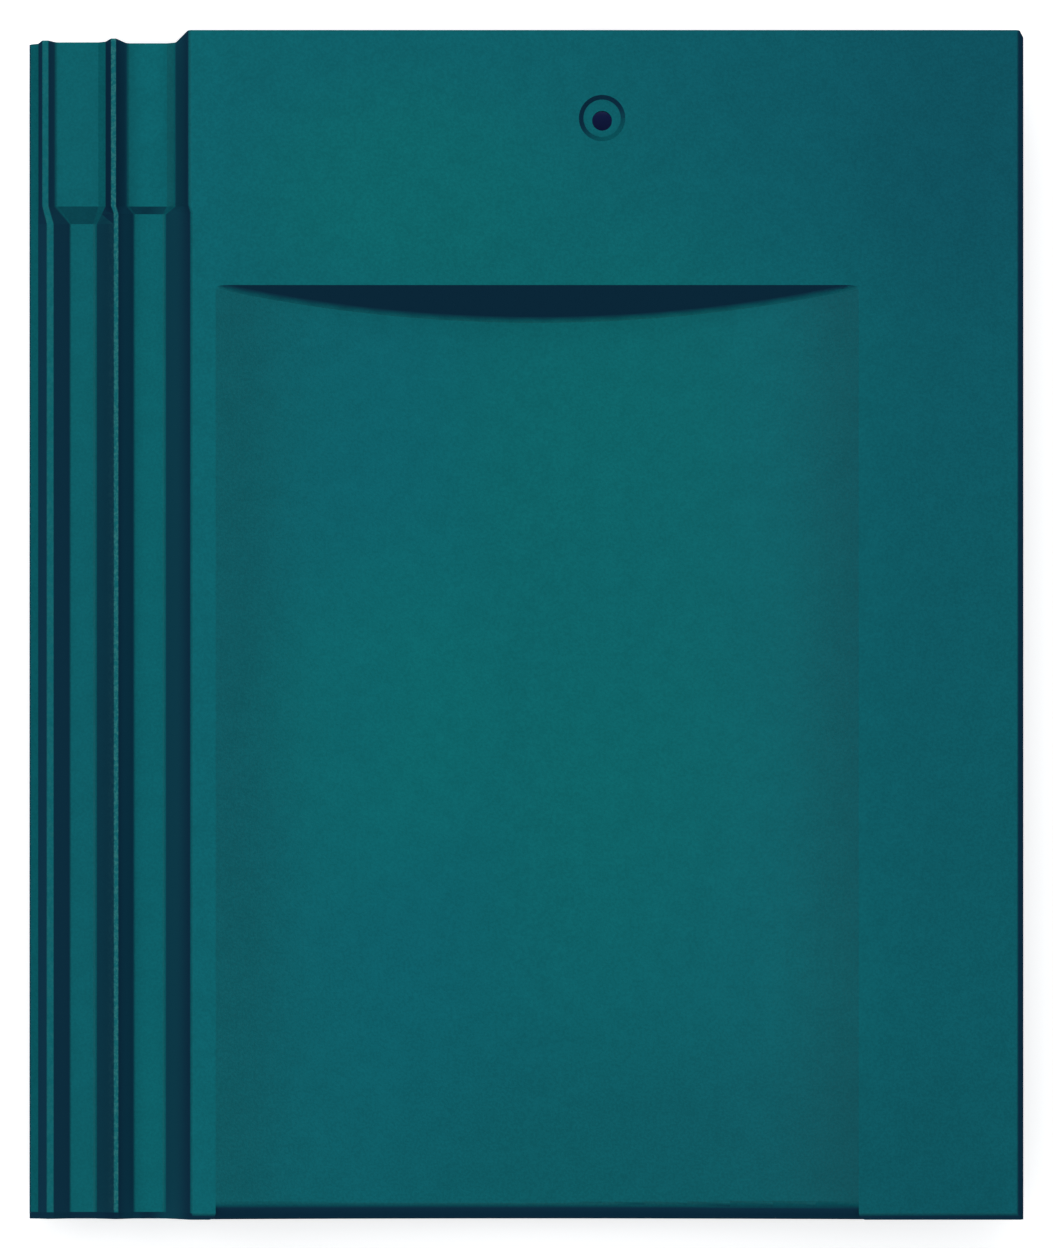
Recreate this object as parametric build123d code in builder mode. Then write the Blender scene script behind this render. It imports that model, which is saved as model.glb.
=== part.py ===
from build123d import *
import math
import os

# One pressed roof tile. Its face is flat, with one wide shallow trough that runs to the tail edge.
# Sizes are in millimetres. X runs across the roof, Y runs up the slope to the head edge, Z is up.
# Heights are measured from the underside of the underlap. At the end the tile is lifted by the
# drop of its nibs, so that the origin lies under the middle of the outline at the lowest point.
# Names that end in "at" are positions across the tile, measured from its outer left edge.

# Whole tile
overall_length = 420.0
cover_width = 300.0
face_height = 25.0
pan_thickness = 12.0

# Heights of the underlap, which is the strip of ribs and channels along the left edge
ledge_height = 8.0
ledge_fall = 1.2
outer_rib_height = 12.0
rib_height = 14.5
channel_floor = 7.0
bank_rise = 0.2
shallow_outer_floor = 9.6
shallow_inner_floor = 8.5
shallow_bank_rise = 1.0

# Widths across the underlap where its channels are deep, from the outer edge to the face
ledge_width = 3.1
outer_rib_rise = 3.2
outer_rib_crest = 2.3
outer_rib_fall = 5.9
outer_channel_width = 8.1
outer_bank_run = 1.0
inner_rib_rise = 6.5
inner_rib_crest = 1.5
inner_rib_fall = 5.3
inner_channel_width = 10.3
inner_bank_run = 1.0
wall_run = 9.1

# Widths across the underlap where its channels are shallow, near the head
shallow_ledge_width = 3.2
shallow_outer_rib_rise = 1.4
shallow_outer_rib_crest = 2.2
shallow_outer_rib_fall = 2.6
shallow_outer_channel_width = 15.0
shallow_outer_bank_run = 2.6
shallow_inner_rib_rise = 2.0
shallow_inner_rib_crest = 1.8
shallow_inner_rib_fall = 3.6
shallow_inner_channel_width = 14.2
shallow_inner_bank_run = 3.2
shallow_wall_run = 4.6

# Lengths along the underlap
shallow_length = 62.0
outer_ramp_length = 6.2
inner_ramp_length = 2.7
tail_bevel_length = 2.4
tail_bevel_height = 1.6
tail_wall_corner = 1.6

# Overlap along the right edge, which covers the next tile's underlap
lap_clearance = 1.0
overlap_rib_clearance = 1.5
overlap_side_clearance = 3.0
overlap_edge_gap = 5.9
overlap_edge_draft = 1.6
overlap_shoulder = 1.0
ramp_clearance = 4.0
outer_overlap_rib_crest = 7.0
inner_overlap_rib_crest = 8.0
overlap_rib_flare = 6.0

# Trough in the face
trough_margin = 8.8
trough_width = 227.0
trough_depth = 12.0
trough_head_margin = 90.0
trough_wall_angle = 45.0
trough_wall_foot_radius = 3.0
trough_lip_length = 3.0
trough_lip_height = 9.0
trough_lip_reach = 12.0

# Nail hole, to the right of the trough's middle
nail_hole_offset = 22.9
nail_hole_margin = 32.0
nail_hole_diameter = 7.0
nail_recess_diameter = 16.4
nail_recess_floor_diameter = 13.2
nail_recess_depth = 1.5
nail_recess_shift = 0.9

# The head end leans back, so that the tile leaves its mould
head_lean_angle = 14.5

# Underside
wall_thickness = 10.0
tail_bar_length = 14.0
weather_bar_margin = 34.0
weather_bar_length = 8.0
weather_bar_gap = 3.0
nib_width = 36.0
nib_length = 15.0
nib_margin = 10.0
nib_spacing = 134.0
nib_drop = 12.0
batten_seat_length = 26.0

# Rounded edges
ledge_radius = 1.2
crest_radius = 0.6
floor_radius = 1.5
shallow_floor_radius = 2.4
face_edge_radius = 1.6
overlap_edge_radius = 1.4
overlap_rib_radius = 1.0
trough_lip_radius = 5.0
tail_corner_radius = 2.6
tail_edge_radius = 2.8
head_edge_radius = 1.4
nib_edge_radius = 2.0

# Two places this close are the same
same_place = 0.001

# Places that follow from the sizes above
head_edge = overall_length / 2
tail_edge = -overall_length / 2
shallow_start = head_edge - shallow_length
pan_underside = face_height - pan_thickness
overlap_underside = rib_height + lap_clearance
deep_rib_bottom = channel_floor + overlap_rib_clearance
short_rib_bottom = shallow_outer_floor + overlap_rib_clearance
outer_ramp_foot = shallow_start - outer_ramp_length
inner_ramp_foot = shallow_start - inner_ramp_length
inner_ramp_share = inner_ramp_length / outer_ramp_length
tail_bevel_start = tail_edge + tail_bevel_length
deep_rib_start = outer_ramp_foot - ramp_clearance

outer_channel_at = ledge_width + outer_rib_rise + outer_rib_crest + outer_rib_fall
inner_rib_at = outer_channel_at + outer_channel_width + outer_bank_run + inner_rib_rise
inner_channel_at = inner_rib_at + inner_rib_crest + inner_rib_fall
wall_foot_at = inner_channel_at + inner_channel_width + inner_bank_run
face_at = wall_foot_at + wall_run
right_edge_at = face_at + cover_width - overlap_edge_gap
overlap_at = cover_width - overlap_side_clearance
pan_end_at = overlap_at - overlap_shoulder
left_edge = -right_edge_at / 2

wall_rise = face_height - channel_floor
wall_slope = wall_run / wall_rise
inner_wall_foot_at = wall_foot_at - channel_floor * wall_slope + wall_thickness * math.hypot(1.0, wall_slope)
inner_wall_top_at = inner_wall_foot_at + pan_underside * wall_slope

trough_centre = left_edge + face_at + trough_margin + trough_width / 2
trough_radius = (trough_width**2 / 4 + trough_depth**2) / (2 * trough_depth)
trough_floor = face_height - trough_depth
trough_axis_height = trough_floor + trough_radius
trough_head = head_edge - trough_head_margin
trough_wall_lean = math.radians(trough_wall_angle)
bulge_head = trough_head + pan_thickness / math.sin(trough_wall_lean)
bar_height = pan_underside + pan_thickness / 4

trough_lip_edge = tail_edge + trough_lip_length
head_lean = face_height * math.tan(math.radians(head_lean_angle))

# The underlap's outline: how far each corner lies from the last one, its height and its rounding
deep_corners = (
    (0.0, ledge_height - ledge_fall, ledge_radius),
    (ledge_width, ledge_height, 0.0),
    (outer_rib_rise, outer_rib_height, crest_radius),
    (outer_rib_crest, outer_rib_height, crest_radius),
    (outer_rib_fall, channel_floor, floor_radius),
    (outer_channel_width, channel_floor, 0.0),
    (outer_bank_run, channel_floor + bank_rise, floor_radius),
    (inner_rib_rise, rib_height, crest_radius),
    (inner_rib_crest, rib_height, crest_radius),
    (inner_rib_fall, channel_floor, floor_radius),
    (inner_channel_width, channel_floor, 0.0),
    (inner_bank_run, channel_floor + bank_rise, floor_radius),
    (wall_run, face_height, face_edge_radius),
)
shallow_corners = (
    (0.0, ledge_height - ledge_fall, ledge_radius),
    (shallow_ledge_width, ledge_height, 0.0),
    (shallow_outer_rib_rise, outer_rib_height, crest_radius),
    (shallow_outer_rib_crest, outer_rib_height, crest_radius),
    (shallow_outer_rib_fall, shallow_outer_floor, shallow_floor_radius),
    (shallow_outer_channel_width, shallow_outer_floor, 0.0),
    (shallow_outer_bank_run, shallow_outer_floor + shallow_bank_rise, crest_radius),
    (shallow_inner_rib_rise, rib_height, crest_radius),
    (shallow_inner_rib_crest, rib_height, crest_radius),
    (shallow_inner_rib_fall, shallow_inner_floor, shallow_floor_radius),
    (shallow_inner_channel_width, shallow_inner_floor, 0.0),
    (shallow_inner_bank_run, shallow_inner_floor + shallow_bank_rise, floor_radius),
    (shallow_wall_run, face_height, face_edge_radius),
)
outer_corner_count = 7

# At the foot of the inner channel's ramp, where the outer channel's ramp is still on its way down
ramp_corners = tuple(
    tuple(high + (low - high) * inner_ramp_share for low, high in zip(deep, shallow))
    for deep, shallow in zip(deep_corners[:outer_corner_count], shallow_corners)
) + deep_corners[outer_corner_count:]

# At the tail edge, where the whole underlap is bevelled and the face's corner is cut off
tail_corners = tuple(
    (run, height - tail_bevel_height, radius) for run, height, radius in deep_corners[:-1]
) + ((wall_run + tail_wall_corner, face_height, face_edge_radius),)


def section_plane(y):
    # Looks up the slope: across the tile from its left edge, then up.
    return Plane(origin=(left_edge, y, 0.0), x_dir=(1.0, 0.0, 0.0), z_dir=(0.0, -1.0, 0.0))


def trough_wall_plane(y):
    # Leans like the wall at the trough's head, and meets the face at y.
    return Plane(
        origin=(0.0, y, face_height),
        x_dir=(1.0, 0.0, 0.0),
        z_dir=(0.0, -math.sin(trough_wall_lean), math.cos(trough_wall_lean)),
    )


def section(corner_rows, y):
    # A slice through the tile: over the underlap and the face, then back along the underside.
    across = 0.0
    top = []
    for run, height, radius in corner_rows:
        across += run
        top.append((across, height, radius))
    underside = [
        (right_edge_at - overlap_edge_draft, face_height, overlap_edge_radius),
        (right_edge_at, overlap_underside, 0.0),
        (overlap_at, overlap_underside, 0.0),
        (pan_end_at, pan_underside, 0.0),
        (inner_wall_top_at, pan_underside, 0.0),
        (inner_wall_foot_at, 0.0, 0.0),
        (0.0, 0.0, 0.0),
    ]
    with BuildSketch(section_plane(y)) as slice_sketch:
        with BuildLine():
            Polyline(*[(across, height) for across, height, radius in top + underside], close=True)
        make_face()
        for across, height, radius in top + underside:
            if radius > 0.0:
                fillet(slice_sketch.vertices().sort_by_distance((across, height, 0.0))[0], radius)
    return slice_sketch.sketch


def overlap_ribs(bottom):
    # Two ribs that stand over the channels of the next tile's underlap.
    flare = overlap_rib_flare * (overlap_underside - bottom) / (overlap_underside - channel_floor)
    for channel_at, channel_width, crest in (
        (outer_channel_at, outer_channel_width, outer_overlap_rib_crest),
        (inner_channel_at, inner_channel_width, inner_overlap_rib_crest),
    ):
        middle = cover_width + channel_at + channel_width / 2
        Polygon(
            (middle - crest / 2 - flare / 2, overlap_underside),
            (middle - crest / 2, bottom),
            (middle + crest / 2, bottom),
            (middle + crest / 2 + flare / 2, overlap_underside),
            align=None,
        )


def corners(sketch, height):
    # A section's corners at one height, from left to right.
    found = sketch.vertices().filter_by(lambda corner: math.isclose(corner.Y, height, abs_tol=same_place))
    return found.sort_by(Axis.X)


# What is taken away for the trough: the space over a wide arc, ended by a leaning wall
with BuildPart() as trough:
    with BuildSketch(Plane.XZ.offset(-head_edge)):
        with Locations((trough_centre, trough_axis_height)):
            Circle(trough_radius)
        with Locations((trough_centre, face_height + trough_depth / 2)):
            Rectangle(
                2 * trough_radius,
                2 * trough_radius,
                align=(Align.CENTER, Align.MAX),
                mode=Mode.INTERSECT,
            )
    extrude(amount=overall_length)
    split(bisect_by=trough_wall_plane(trough_head), keep=Keep.TOP)
    fillet(trough.edges().filter_by(GeomType.ELLIPSE), trough_wall_foot_radius)

# What is taken away at the tail, so that the trough runs out over a rounded lip. The lip keeps its
# shape across the trough, and the tile's corners beside it are rounded.
with BuildPart() as lip:
    with BuildSketch(Plane.YZ.offset(trough_centre)) as lip_outline:
        with BuildLine():
            Polyline(
                (tail_edge + trough_lip_reach, trough_floor),
                (trough_lip_edge, trough_floor),
                (tail_edge, trough_floor - trough_lip_height),
                (tail_edge - trough_lip_length, trough_floor - trough_lip_height),
                (tail_edge - trough_lip_length, face_height),
                (tail_edge + trough_lip_reach, face_height),
                close=True,
            )
        make_face()
        lip_corner = lip_outline.vertices().sort_by_distance((trough_lip_edge, trough_floor, 0.0))[0]
        fillet(lip_corner, trough_lip_radius)
    revolve(axis=Axis((trough_centre, 0.0, trough_axis_height), (0.0, 1.0, 0.0)))
    with BuildSketch() as lip_plan:
        with Locations((trough_centre, tail_edge)):
            Rectangle(trough_width, 2 * trough_lip_reach)
            Rectangle(trough_width + 2 * tail_corner_radius, 2 * tail_corner_radius)
        with Locations((trough_centre, tail_edge + tail_corner_radius)):
            with GridLocations(trough_width + 2 * tail_corner_radius, overall_length, 2, 1):
                Circle(tail_corner_radius, mode=Mode.SUBTRACT)
    extrude(amount=2 * face_height, mode=Mode.INTERSECT)

# What is added under the pan, so that it keeps its thickness along the trough
with BuildPart() as bulge:
    with BuildSketch(Plane.XZ.offset(-head_edge)):
        with Locations((trough_centre, trough_axis_height)):
            Circle(trough_radius + pan_thickness)
        with Locations((trough_centre, bar_height)):
            Rectangle(
                2 * (left_edge + pan_end_at - trough_centre),
                2 * trough_radius,
                align=(Align.CENTER, Align.MAX),
                mode=Mode.INTERSECT,
            )
    extrude(amount=overall_length)
    split(bisect_by=trough_wall_plane(bulge_head), keep=Keep.TOP)

with BuildPart() as roof_tile:
    # Bevelled tail, deep channels, the ramps, then shallow channels up to the head edge
    loft([section(tail_corners, tail_edge), section(deep_corners, tail_bevel_start)], ruled=True)
    extrude(section(deep_corners, outer_ramp_foot), amount=outer_ramp_foot - tail_bevel_start)
    loft([section(deep_corners, outer_ramp_foot), section(ramp_corners, inner_ramp_foot)], ruled=True)
    loft([section(ramp_corners, inner_ramp_foot), section(shallow_corners, shallow_start)], ruled=True)
    extrude(section(shallow_corners, head_edge), amount=shallow_length)

    # Ribs under the overlap: low ones for the deep channels, and short ones for the shallow channels
    with BuildSketch(section_plane(deep_rib_start)) as deep_ribs:
        overlap_ribs(deep_rib_bottom)
        fillet(corners(deep_ribs, deep_rib_bottom), overlap_rib_radius)
    extrude(amount=deep_rib_start - tail_edge)
    with BuildSketch(section_plane(head_edge)):
        overlap_ribs(short_rib_bottom)
    extrude(amount=shallow_length)

    # Outline from the side: the head end leans back, and the top edges of both ends are rounded
    with BuildSketch(Plane.YZ.offset(left_edge)) as side_outline:
        with BuildLine():
            Polyline(
                (tail_edge, 0.0),
                (tail_edge, face_height),
                (head_edge, face_height),
                (head_edge - head_lean, 0.0),
                close=True,
            )
        make_face()
        top_corners = corners(side_outline, face_height)
        fillet(top_corners[0], tail_edge_radius)
        fillet(top_corners[-1], head_edge_radius)
    extrude(amount=right_edge_at, mode=Mode.INTERSECT)

    # Bars across the underside that keep rain and snow from blowing in
    with Locations((left_edge + inner_wall_foot_at, tail_edge, 0.0)):
        Box(
            pan_end_at - inner_wall_foot_at,
            tail_bar_length,
            bar_height,
            align=(Align.MIN, Align.MIN, Align.MIN),
        )
    with Locations((left_edge + inner_wall_foot_at, tail_edge + weather_bar_margin, weather_bar_gap)):
        Box(
            pan_end_at - inner_wall_foot_at,
            weather_bar_length,
            bar_height - weather_bar_gap,
            align=(Align.MIN, Align.MIN, Align.MIN),
        )

    # Nibs that hook over the batten, each with a pad that sits on top of it
    with Locations((trough_centre, head_edge - nib_margin, -nib_drop)):
        with GridLocations(nib_spacing, nib_spacing, 2, 1):
            Box(
                nib_width,
                nib_length,
                nib_drop + bar_height,
                align=(Align.CENTER, Align.MAX, Align.MIN),
            )
    with Locations((trough_centre, head_edge - nib_margin - nib_length, 0.0)):
        with GridLocations(nib_spacing, nib_spacing, 2, 1):
            Box(
                nib_width,
                batten_seat_length,
                bar_height,
                align=(Align.CENTER, Align.MAX, Align.MIN),
            )
    fillet(roof_tile.edges().group_by(Axis.Z)[0], nib_edge_radius)

    # The pan's underside follows the trough
    add(bulge.part)
    add(trough.part, mode=Mode.SUBTRACT)
    add(lip.part, mode=Mode.SUBTRACT)

    # Nail hole, a little below the middle of a round recess with a sloping rim
    nail_hole_y = head_edge - nail_hole_margin
    with Locations((trough_centre + nail_hole_offset, nail_hole_y + nail_recess_shift, face_height)):
        Cone(
            nail_recess_floor_diameter / 2,
            nail_recess_diameter / 2,
            nail_recess_depth,
            align=(Align.CENTER, Align.CENTER, Align.MAX),
            mode=Mode.SUBTRACT,
        )
    with Locations((trough_centre + nail_hole_offset, nail_hole_y, face_height)):
        Hole(nail_hole_diameter / 2, depth=pan_thickness)

# Stand the tile on its nibs, so that nothing lies below zero
roof_tile_at_rest = Pos(0.0, 0.0, nib_drop) * roof_tile.part
roof_tile_at_rest.label = "roof_tile"
os.makedirs("parts", exist_ok=True)
export_step(roof_tile_at_rest, "parts/roof_tile.step")
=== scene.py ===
import bpy
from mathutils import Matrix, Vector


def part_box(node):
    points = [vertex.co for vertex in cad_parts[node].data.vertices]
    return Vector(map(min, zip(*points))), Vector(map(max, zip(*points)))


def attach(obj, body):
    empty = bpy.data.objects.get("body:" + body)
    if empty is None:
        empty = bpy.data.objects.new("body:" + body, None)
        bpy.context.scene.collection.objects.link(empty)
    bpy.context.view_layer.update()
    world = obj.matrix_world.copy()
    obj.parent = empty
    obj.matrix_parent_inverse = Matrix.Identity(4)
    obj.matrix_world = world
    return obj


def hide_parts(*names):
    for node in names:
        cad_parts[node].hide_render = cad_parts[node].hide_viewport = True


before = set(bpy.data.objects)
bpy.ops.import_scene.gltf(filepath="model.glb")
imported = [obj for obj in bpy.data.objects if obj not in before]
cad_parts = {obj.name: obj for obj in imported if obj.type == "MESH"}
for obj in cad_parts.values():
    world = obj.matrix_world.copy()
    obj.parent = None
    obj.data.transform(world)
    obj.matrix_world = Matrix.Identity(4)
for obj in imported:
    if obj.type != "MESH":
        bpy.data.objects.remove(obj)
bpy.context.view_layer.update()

# Everything is in metres, in the frame of the CAD model.
TILE = "roof_tile"
tile_low, tile_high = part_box(TILE)
millimetre = 0.001

# The painted highlight specks on the side ribs' crests set in between these two heights, and only left of
# the face.
low_crest = 22.8 * millimetre
high_crest = 26.4 * millimetre
face_left_edge = tile_low.x + 57.3 * millimetre
crest_limit_blur = 3.0 * millimetre

# The CAD model jogs to the right between the deep and the shallow channels: where the jog starts, where it
# is widest, where it ends, how wide it is, and between which places across the tile it sets in.
jog_foot = 141.8 * millimetre
jog_middle = 145.3 * millimetre
jog_head = 148.0 * millimetre
jog_width = 1.92 * millimetre
jog_from = tile_low.x + 26.2 * millimetre
jog_full = tile_low.x + 31.7 * millimetre

# The jog is taken out above this height and left of this limit.
jog_lowest = 18.0 * millimetre
jog_limit = tile_low.x + 61.2 * millimetre

# The camera hangs straight above the tile, with the head of the tile at the top of the picture.
camera_height = 8.0
picture_width = 372.0 * millimetre
picture_centre_x = 0.3 * millimetre
picture_centre_y = 0.35 * millimetre
sensor_width = 36.0

# The coat: a satin teal, greener in some places and bluer in others, and matt on the steep sides. The steep
# sides and the sides facing away from the light are painted dark navy as shade. The light falls from above,
# a little from the head and from the left.
painted_light_from = (-0.12, 0.24, 1.0)
green_teal = (0.0038, 0.146, 0.153)
blue_teal = (0.0041, 0.129, 0.153)
side_painted_shade = (0.0060, 0.035, 0.067)
# Painted highlight on the crests of the side ribs
highlight_speck_teal = (0.0300, 0.185, 0.190)

# How much the surface faces the light where the coat starts and the painted shade of the sides fades, and
# where the coat is full
lit_coat_range = (0.68, 0.94)

# The upward part of the surface's direction, up to which the colour is darker as painted shade, and from
# which it isn't
trough_side_range = (0.976, 0.990)
trough_side_painted_shade = (1.0, 0.80, 0.80)

# The upward part of the surface's direction where the gloss starts, and where it is full
gloss_range = (0.94, 0.985)
coat_gloss = 0.12
coat_roughness = 0.30
side_roughness = 0.80
roughness_drift = (-0.04, 0.04)

# Noises: scale, levels of detail, roughness.
drift_noise = (9.0, 3.0, 0.5)
mottle_noise = (120.0, 5.0, 0.6)
sand_noise = (1100.0, 2.0, 0.6)
speck_noise = (900.0, 3.0, 0.7)
roughness_noise = (60.0, 4.0, 0.5)
uneven_noise = (260.0, 3.0, 0.5)
sand_bump_noise = (1800.0, 2.0, 0.5)

# The part of a noise's values that is stretched to its full effect
common_range = (0.3, 0.7)
drift_range = (0.35, 0.75)
speck_range = (0.42, 0.64)

# What the mottling and the sand multiply the colour by
mottle_shades = (0.965, 1.035)
sand_shades = (0.92, 1.08)

# Bumps: strength, height in metres.
uneven_bump = (0.12, 0.00035)
sand_bump = (0.50, 0.00012)

# How green the drifting noise and one green patch make the coat
drift_green = 0.25
patch_green = 0.7

# A patch is full up to the first share of its reach, and fades out at the second.
patch_fade = (0.35, 1.25)

# Places on the face where the coat is greener: x, y, reach along x, reach along y.
green_patches = [
    (0.025, 0.010, 0.075, 0.150),
    (-0.055, -0.030, 0.045, 0.070),
    (-0.045, 0.155, 0.060, 0.045),
]

# Painted light and shade: places where the coat's colour is made darker or lighter to stand in for how the
# light falls: x, y, reach along x, reach along y, and what its colour is multiplied by.
painted_light_and_shade_patches = [
    (0.165, 0.000, 0.060, 0.600, (1.0, 0.86, 0.90)),
    (0.150, 0.195, 0.130, 0.090, (1.0, 0.86, 0.92)),
    (-0.132, -0.020, 0.009, 0.600, (1.0, 1.18, 1.16)),
    (-0.050, -0.020, 0.040, 0.180, (1.0, 1.03, 1.05)),
    (-0.114, 0.020, 0.010, 0.600, (1.0, 1.05, 1.05)),
    (0.060, -0.205, 0.130, 0.070, (1.0, 0.89, 0.90)),
]

# The same painted light and shade for the steep sides of the ribs and of the face, mostly lighter near their
# feet.
painted_light_and_shade_on_sides = [
    (-0.1262, 0.0, 0.0062, 0.6, (1.20, 1.95, 1.55)),
    (-0.1400, 0.0, 0.0045, 0.6, (1.00, 1.50, 1.35)),
    (-0.1465, 0.0, 0.0040, 0.6, (0.90, 0.82, 0.88)),
    (-0.1650, 0.0, 0.0040, 0.6, (1.00, 1.14, 1.06)),
]

# Softboxes: name, the side of the tile that it stands on as x and y, and its power in watts.
softboxes = [
    ("head_lamp", 0.0, 1.0, 98.0),
    ("left_lamp", -1.0, 0.0, 70.0),
    ("right_lamp", 1.0, 0.0, 39.0),
    ("tail_lamp", 0.0, -1.0, 39.0),
]
softbox_reach = 3.2
softbox_size = 3.2
fill_colour = (0.80, 0.90, 1.0)
fill_strength = 0.15

# The floor is white paper, with a painted shadow in one spot under the nail hole: x, y, reach along x, reach
# along y.
floor_half = 3.0
floor_paper = (0.86, 0.86, 0.86)
floor_roughness = 0.9
painted_hole_shadow = (0.050, 0.080, 0.320)
hole_shadow_spot = (0.0268, 0.178, 0.030, 0.030)

# What the floor adds where it is seen, so that it comes out white, and how far inside the tile's outline
# that fades out
floor_glow = 0.55
glow_fade = 30.0 * millimetre

# The colour sockets of a mix node, which share their names with its other sockets
mix_share = 0
mix_first_colour = 6
mix_second_colour = 7
mixed_colour = 2


def node(tree, kind, **settings):
    made = tree.nodes.new(kind)
    for name, value in settings.items():
        setattr(made, name, value)
    return made


def connect(tree, source, target):
    tree.links.new(source, target)


def feed(tree, value, socket):
    """Give a socket a number, a colour or another node's output."""
    if isinstance(value, (int, float)):
        socket.default_value = value
    elif isinstance(value, tuple):
        socket.default_value = (*value, 1.0)
    else:
        connect(tree, value, socket)


def math_node(tree, operation, *values):
    made = node(tree, "ShaderNodeMath", operation=operation)
    for value, socket in zip(values, made.inputs):
        feed(tree, value, socket)
    return made.outputs[0]


def ramp(tree, value, limits, results=(0.0, 1.0)):
    """A smooth step from the first result to the second while the value goes from one limit to the other."""
    made = node(tree, "ShaderNodeMapRange", clamp=True, interpolation_type="SMOOTHSTEP")
    connect(tree, value, made.inputs["Value"])
    made.inputs["From Min"].default_value, made.inputs["From Max"].default_value = limits
    made.inputs["To Min"].default_value, made.inputs["To Max"].default_value = results
    return made.outputs["Result"]


def noise(tree, place, settings):
    made = node(tree, "ShaderNodeTexNoise")
    connect(tree, place, made.inputs["Vector"])
    for name, value in zip(("Scale", "Detail", "Roughness"), settings):
        made.inputs[name].default_value = value
    return made.outputs["Fac"]


def blend_colours(tree, share, first, second, mode="MIX"):
    made = node(tree, "ShaderNodeMix", data_type="RGBA", blend_type=mode)
    feed(tree, share, made.inputs[mix_share])
    feed(tree, first, made.inputs[mix_first_colour])
    feed(tree, second, made.inputs[mix_second_colour])
    return made.outputs[mixed_colour]


def bump(tree, place, noise_settings, strength, height):
    made = node(tree, "ShaderNodeBump")
    made.inputs["Strength"].default_value = strength
    made.inputs["Distance"].default_value = height
    connect(tree, noise(tree, place, noise_settings), made.inputs["Height"])
    return made


def patch_mask(tree, place, patch):
    """A soft oval spot, 1 in its middle and 0 outside it."""
    x, y, reach_x, reach_y = patch
    shifted = node(tree, "ShaderNodeVectorMath", operation="SUBTRACT")
    connect(tree, place, shifted.inputs[0])
    shifted.inputs[1].default_value = (x, y, 0.0)
    scaled = node(tree, "ShaderNodeVectorMath", operation="MULTIPLY")
    connect(tree, shifted.outputs[0], scaled.inputs[0])
    scaled.inputs[1].default_value = (1.0 / reach_x, 1.0 / reach_y, 0.0)
    length = node(tree, "ShaderNodeVectorMath", operation="LENGTH")
    connect(tree, scaled.outputs[0], length.inputs[0])
    return ramp(tree, length.outputs["Value"], patch_fade, (1.0, 0.0))


def shade_patches(tree, place, colour, patches):
    for x, y, reach_x, reach_y, factor in patches:
        mask = patch_mask(tree, place, (x, y, reach_x, reach_y))
        colour = blend_colours(tree, mask, colour, factor, "MULTIPLY")
    return colour


def green_share(tree, place):
    """Greener and bluer areas of the coat, a few centimetres wide, with soft limits."""
    drift = ramp(tree, noise(tree, place, drift_noise), drift_range)
    green = math_node(tree, "MULTIPLY", drift, drift_green)
    for patch in green_patches:
        spot = math_node(tree, "MULTIPLY", patch_mask(tree, place, patch), patch_green)
        green = math_node(tree, "ADD", green, spot)
    return math_node(tree, "MINIMUM", green, 1.0)


def sand_shade(tree, place):
    """Light and dark mottling, and the fine grain of the sand under the coat, as a grey."""
    mottle = ramp(tree, noise(tree, place, mottle_noise), common_range, mottle_shades)
    grain = ramp(tree, noise(tree, place, sand_noise), common_range, sand_shades)
    shade = math_node(tree, "MULTIPLY", mottle, grain)
    grey = node(tree, "ShaderNodeCombineColor")
    for socket in grey.inputs:
        connect(tree, shade, socket)
    return grey.outputs[0]


def crest_highlight_share(tree, place):
    """Painted highlight: lighter specks on the crests of the side ribs."""
    position = node(tree, "ShaderNodeSeparateXYZ")
    connect(tree, place, position.inputs[0])
    near_crest = ramp(tree, position.outputs["Z"], (low_crest, high_crest))
    side_limit = (face_left_edge - crest_limit_blur, face_left_edge)
    left_of_face = ramp(tree, position.outputs["X"], side_limit, (1.0, 0.0))
    on_crest = math_node(tree, "MULTIPLY", near_crest, left_of_face)
    return math_node(tree, "MULTIPLY", on_crest, ramp(tree, noise(tree, place, speck_noise), speck_range))


def coat_colour(tree, place, upright):
    """The coat's teal, with its patches and its grain, painted shade where the trough turns up, painted
    light and shade patches, and painted highlight specks on the crests.
    """
    coat = blend_colours(tree, green_share(tree, place), blue_teal, green_teal)
    coat = blend_colours(tree, 1.0, coat, sand_shade(tree, place), "MULTIPLY")

    # Painted shade: the colour is darker where the trough's floor turns up to its sides.
    trough_side_shade = ramp(tree, upright, trough_side_range, (1.0, 0.0))
    coat = blend_colours(tree, trough_side_shade, coat, trough_side_painted_shade, "MULTIPLY")
    # Painted light and shade in patches.
    coat = shade_patches(tree, place, coat, painted_light_and_shade_patches)
    # Painted highlight specks on the rib crests.
    return blend_colours(tree, crest_highlight_share(tree, place), coat, highlight_speck_teal)


def surface_relief(tree, place):
    """Sand grain as fine bump, with a broader unevenness under it."""
    uneven = bump(tree, place, uneven_noise, *uneven_bump)
    sand = bump(tree, place, sand_bump_noise, *sand_bump)
    connect(tree, uneven.outputs["Normal"], sand.inputs["Normal"])
    return sand.outputs["Normal"]


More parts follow.
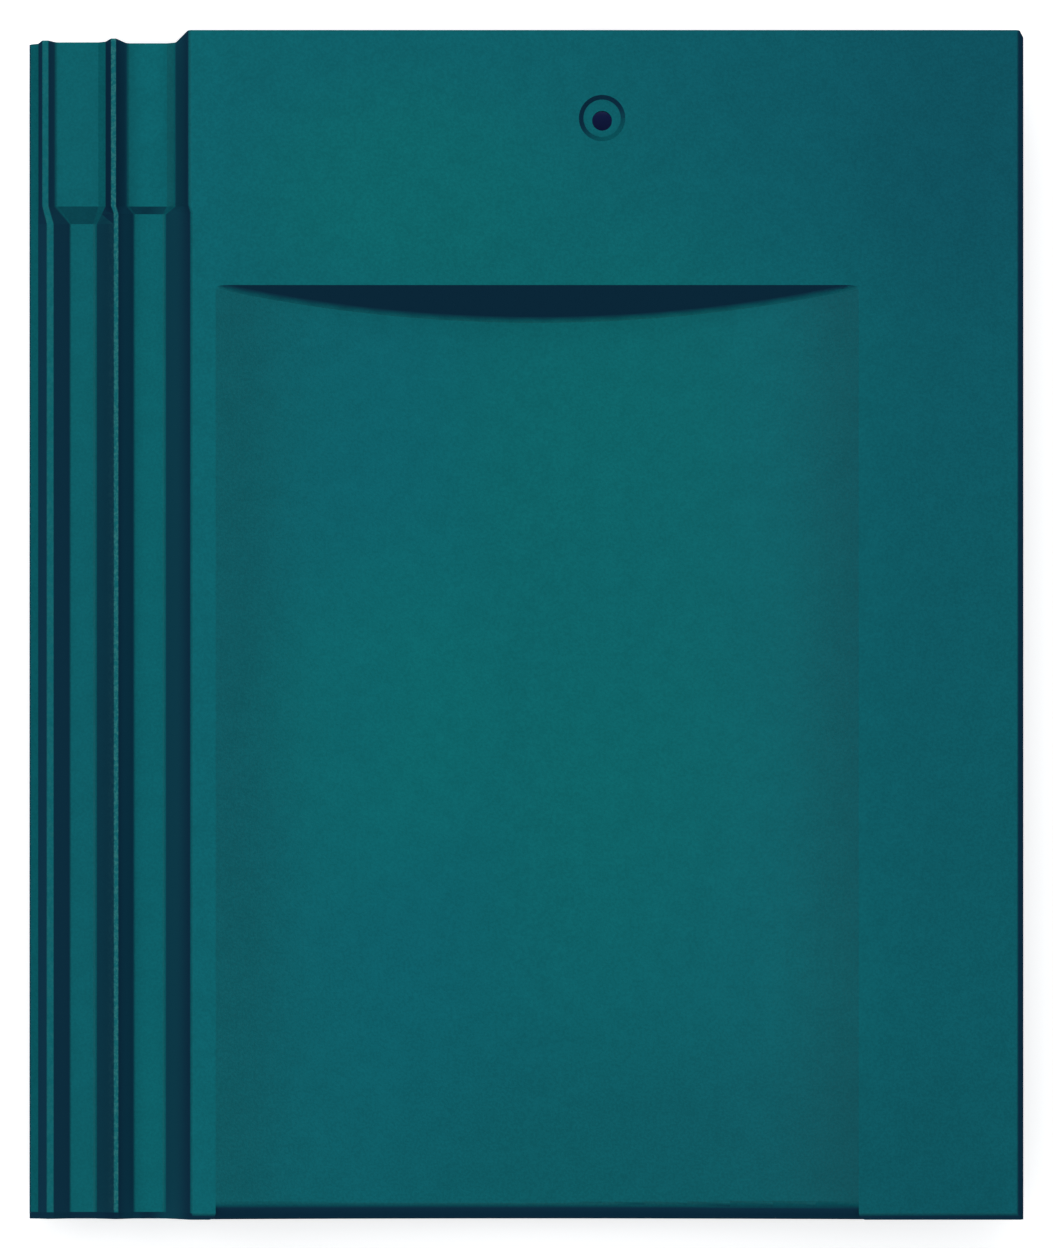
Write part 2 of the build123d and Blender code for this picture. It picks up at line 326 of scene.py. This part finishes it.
def coated_concrete():
    """Pressed concrete under a satin teal coat, with painted shade on the sides that are steep or face away
    from the light.
    """
    material = bpy.data.materials.new("coated_concrete")
    material.use_nodes = True
    tree = material.node_tree
    shader = tree.nodes["Principled BSDF"]
    coordinates = node(tree, "ShaderNodeTexCoord")
    place = coordinates.outputs["Object"]
    direction = node(tree, "ShaderNodeSeparateXYZ")
    connect(tree, coordinates.outputs["Normal"], direction.inputs[0])
    upright = direction.outputs["Z"]
    facing = node(tree, "ShaderNodeVectorMath", operation="DOT_PRODUCT")
    connect(tree, coordinates.outputs["Normal"], facing.inputs[0])
    facing.inputs[1].default_value = painted_light_from
    lit_coat_share = ramp(tree, facing.outputs["Value"], lit_coat_range)

    # Painted shade on the steep sides and on those facing away from the light, with painted light and shade
    # near the feet of the ribs and the face.
    side = shade_patches(tree, place, side_painted_shade, painted_light_and_shade_on_sides)
    colour = blend_colours(tree, lit_coat_share, side, coat_colour(tree, place, upright))
    connect(tree, colour, shader.inputs["Base Color"])
    covered_roughness = ramp(tree, lit_coat_share, (0.0, 1.0), (side_roughness, coat_roughness))
    drift = ramp(tree, noise(tree, place, roughness_noise), common_range, roughness_drift)
    connect(tree, math_node(tree, "ADD", covered_roughness, drift), shader.inputs["Roughness"])

    # Only the flat parts have the coat's gloss.
    shader.inputs["Specular IOR Level"].default_value = 0.0
    connect(tree, ramp(tree, upright, gloss_range, (0.0, coat_gloss)), shader.inputs["Coat Weight"])
    shader.inputs["Coat Roughness"].default_value = coat_roughness

    relief = surface_relief(tree, place)
    connect(tree, relief, shader.inputs["Normal"])
    connect(tree, relief, shader.inputs["Coat Normal"])
    return material


def share_between(value, start, end):
    return min(1.0, max(0.0, (value - start) / (end - start)))


def jog_at(place):
    """How far the CAD model lies too far right at a place on its upper side."""
    if not jog_foot < place.y < jog_head or place.z < jog_lowest or place.x > jog_limit:
        return 0.0
    along = share_between(place.y, jog_foot, jog_middle) * share_between(place.y, jog_head, jog_middle)
    return jog_width * along * share_between(place.x, jog_from, jog_full)


def straight_tile():
    """The CAD model's own surface, with inner rib, inner channel and face run straight past the ramps."""
    cad_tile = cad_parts[TILE]
    mesh = cad_tile.data.copy()
    normals = [corner.vector.copy() for corner in mesh.corner_normals]
    moved = set()
    for vertex in mesh.vertices:
        jog = jog_at(vertex.co)
        if jog > 0.0:
            vertex.co.x -= jog
            moved.add(vertex.index)
    mesh.update()
    for polygon in mesh.polygons:
        if moved.intersection(polygon.vertices):
            for loop in polygon.loop_indices:
                normals[loop] = polygon.normal.copy()
    mesh.normals_split_custom_set(normals)
    tile = bpy.data.objects.new("straight_tile", mesh)
    bpy.context.scene.collection.objects.link(tile)
    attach(tile, "root")
    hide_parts(TILE)
    return tile


def dress_tile():
    tile = straight_tile()
    tile.data.materials.clear()
    tile.data.materials.append(coated_concrete())


def beyond(tree, coordinate, edge):
    """0 well inside an edge on either side of the middle, 1 from the edge outwards."""
    return ramp(tree, math_node(tree, "ABSOLUTE", coordinate), (edge - glow_fade, edge))


def seen_directly(tree):
    """1 for rays from the camera, off a gloss or through something clear, and 0 for all others."""
    path = node(tree, "ShaderNodeLightPath")
    seen = math_node(tree, "MAXIMUM", path.outputs["Is Camera Ray"], path.outputs["Is Glossy Ray"])
    return math_node(tree, "MAXIMUM", seen, path.outputs["Is Transmission Ray"])


def floor_material():
    """Matt paper that looks white outside the tile's outline, with a painted shadow under its nail hole."""
    material = bpy.data.materials.new("floor_paper")
    material.use_nodes = True
    tree = material.node_tree
    shader = tree.nodes["Principled BSDF"]
    shader.inputs["Roughness"].default_value = floor_roughness
    shader.inputs["Specular IOR Level"].default_value = 0.0
    coordinates = node(tree, "ShaderNodeTexCoord").outputs["Object"]
    under_hole = patch_mask(tree, coordinates, hole_shadow_spot)
    # A painted shadow on the floor under the nail hole.
    paper = blend_colours(tree, under_hole, floor_paper, painted_hole_shadow)
    connect(tree, paper, shader.inputs["Base Color"])

    place = node(tree, "ShaderNodeSeparateXYZ")
    connect(tree, coordinates, place.inputs[0])
    beside = beyond(tree, place.outputs["X"], tile_high.x)
    past_ends = beyond(tree, place.outputs["Y"], tile_high.y)
    open_floor = math_node(tree, "MAXIMUM", beside, past_ends)
    seen_open = math_node(tree, "MULTIPLY", seen_directly(tree), open_floor)
    glow = math_node(tree, "MULTIPLY", seen_open, floor_glow)
    shader.inputs["Emission Color"].default_value = (1.0, 1.0, 1.0, 1.0)
    connect(tree, glow, shader.inputs["Emission Strength"])

    # The floor has one side only, so that the tile's underside can be seen from below.
    one_sided = node(tree, "ShaderNodeMixShader")
    connect(tree, node(tree, "ShaderNodeNewGeometry").outputs["Backfacing"], one_sided.inputs[0])
    connect(tree, shader.outputs[0], one_sided.inputs[1])
    connect(tree, node(tree, "ShaderNodeBsdfTransparent").outputs[0], one_sided.inputs[2])
    connect(tree, one_sided.outputs[0], tree.nodes["Material Output"].inputs["Surface"])
    return material


def pale_floor():
    """A large floor that keeps the tile's shadow."""
    corners = [
        (-floor_half, -floor_half, 0),
        (floor_half, -floor_half, 0),
        (floor_half, floor_half, 0),
        (-floor_half, floor_half, 0),
    ]
    mesh = bpy.data.meshes.new("floor")
    mesh.from_pydata(corners, [], [(0, 1, 2, 3)])
    mesh.materials.append(floor_material())
    floor = bpy.data.objects.new("floor", mesh)
    bpy.context.scene.collection.objects.link(floor)


def studio():
    """Four softboxes round the tile, strongest at its head and its left, and a weak blue fill."""
    world = bpy.data.worlds.new("studio")
    bpy.context.scene.world = world
    world.use_nodes = True
    background = world.node_tree.nodes["Background"]
    background.inputs["Color"].default_value = (*fill_colour, 1.0)
    background.inputs["Strength"].default_value = fill_strength
    for name, side_x, side_y, watts in softboxes:
        lamp = bpy.data.lights.new(name, "AREA")
        lamp.shape = "SQUARE"
        lamp.size = softbox_size
        lamp.energy = watts
        holder = bpy.data.objects.new(name, lamp)
        bpy.context.scene.collection.objects.link(holder)
        holder.location = (side_x * softbox_reach, side_y * softbox_reach, softbox_reach)
        holder.rotation_euler = holder.location.to_track_quat("Z", "Y").to_euler()


def camera():
    data = bpy.data.cameras.new("camera")
    data.sensor_fit = "HORIZONTAL"
    data.sensor_width = sensor_width
    data.lens = sensor_width * camera_height / picture_width
    holder = bpy.data.objects.new("camera", data)
    bpy.context.scene.collection.objects.link(holder)
    holder.location = (picture_centre_x, picture_centre_y, tile_high.z + camera_height)
    holder.rotation_euler = (0.0, 0.0, 0.0)
    bpy.context.scene.camera = holder


dress_tile()
pale_floor()
studio()
camera()
bpy.context.scene.view_settings.view_transform = "Standard"
